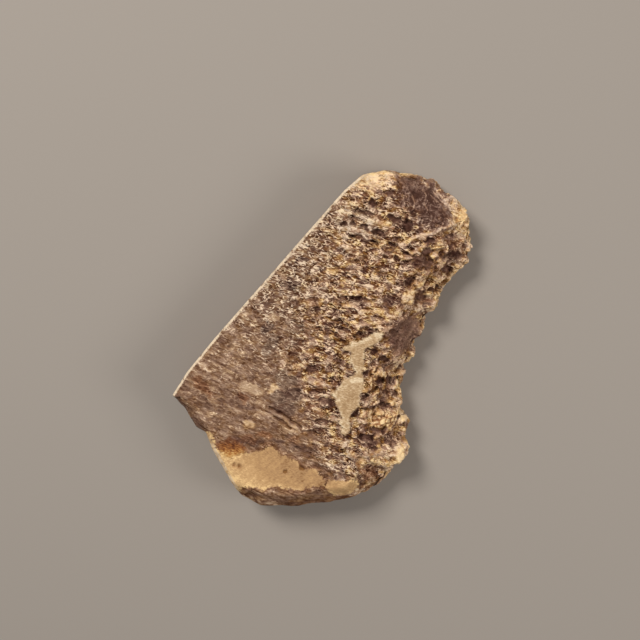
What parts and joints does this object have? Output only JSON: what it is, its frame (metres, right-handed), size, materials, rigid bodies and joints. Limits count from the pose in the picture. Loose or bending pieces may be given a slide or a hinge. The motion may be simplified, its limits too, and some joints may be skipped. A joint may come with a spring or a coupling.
{
  "type": "fossil bone slice",
  "caption": "Sawn slice of fossil bone with dense and spongy tissue, a sandy matrix patch, a pale mineral vein and a raw broken flank; lies flat on its sawn back.",
  "frame": {"origin": "under the middle of the slice's box, on its flat sawn back", "axes": "+X along the long sawn edge, +Y out of that edge, +Z out of the shown sawn face"},
  "size_m": [0.05, 0.0306, 0.008],
  "materials": {
    "fossil_bone": "matte"
  },
  "bodies": {
    "root": {"bone_slice": "fossil_bone"}
  },
  "joints": []
}
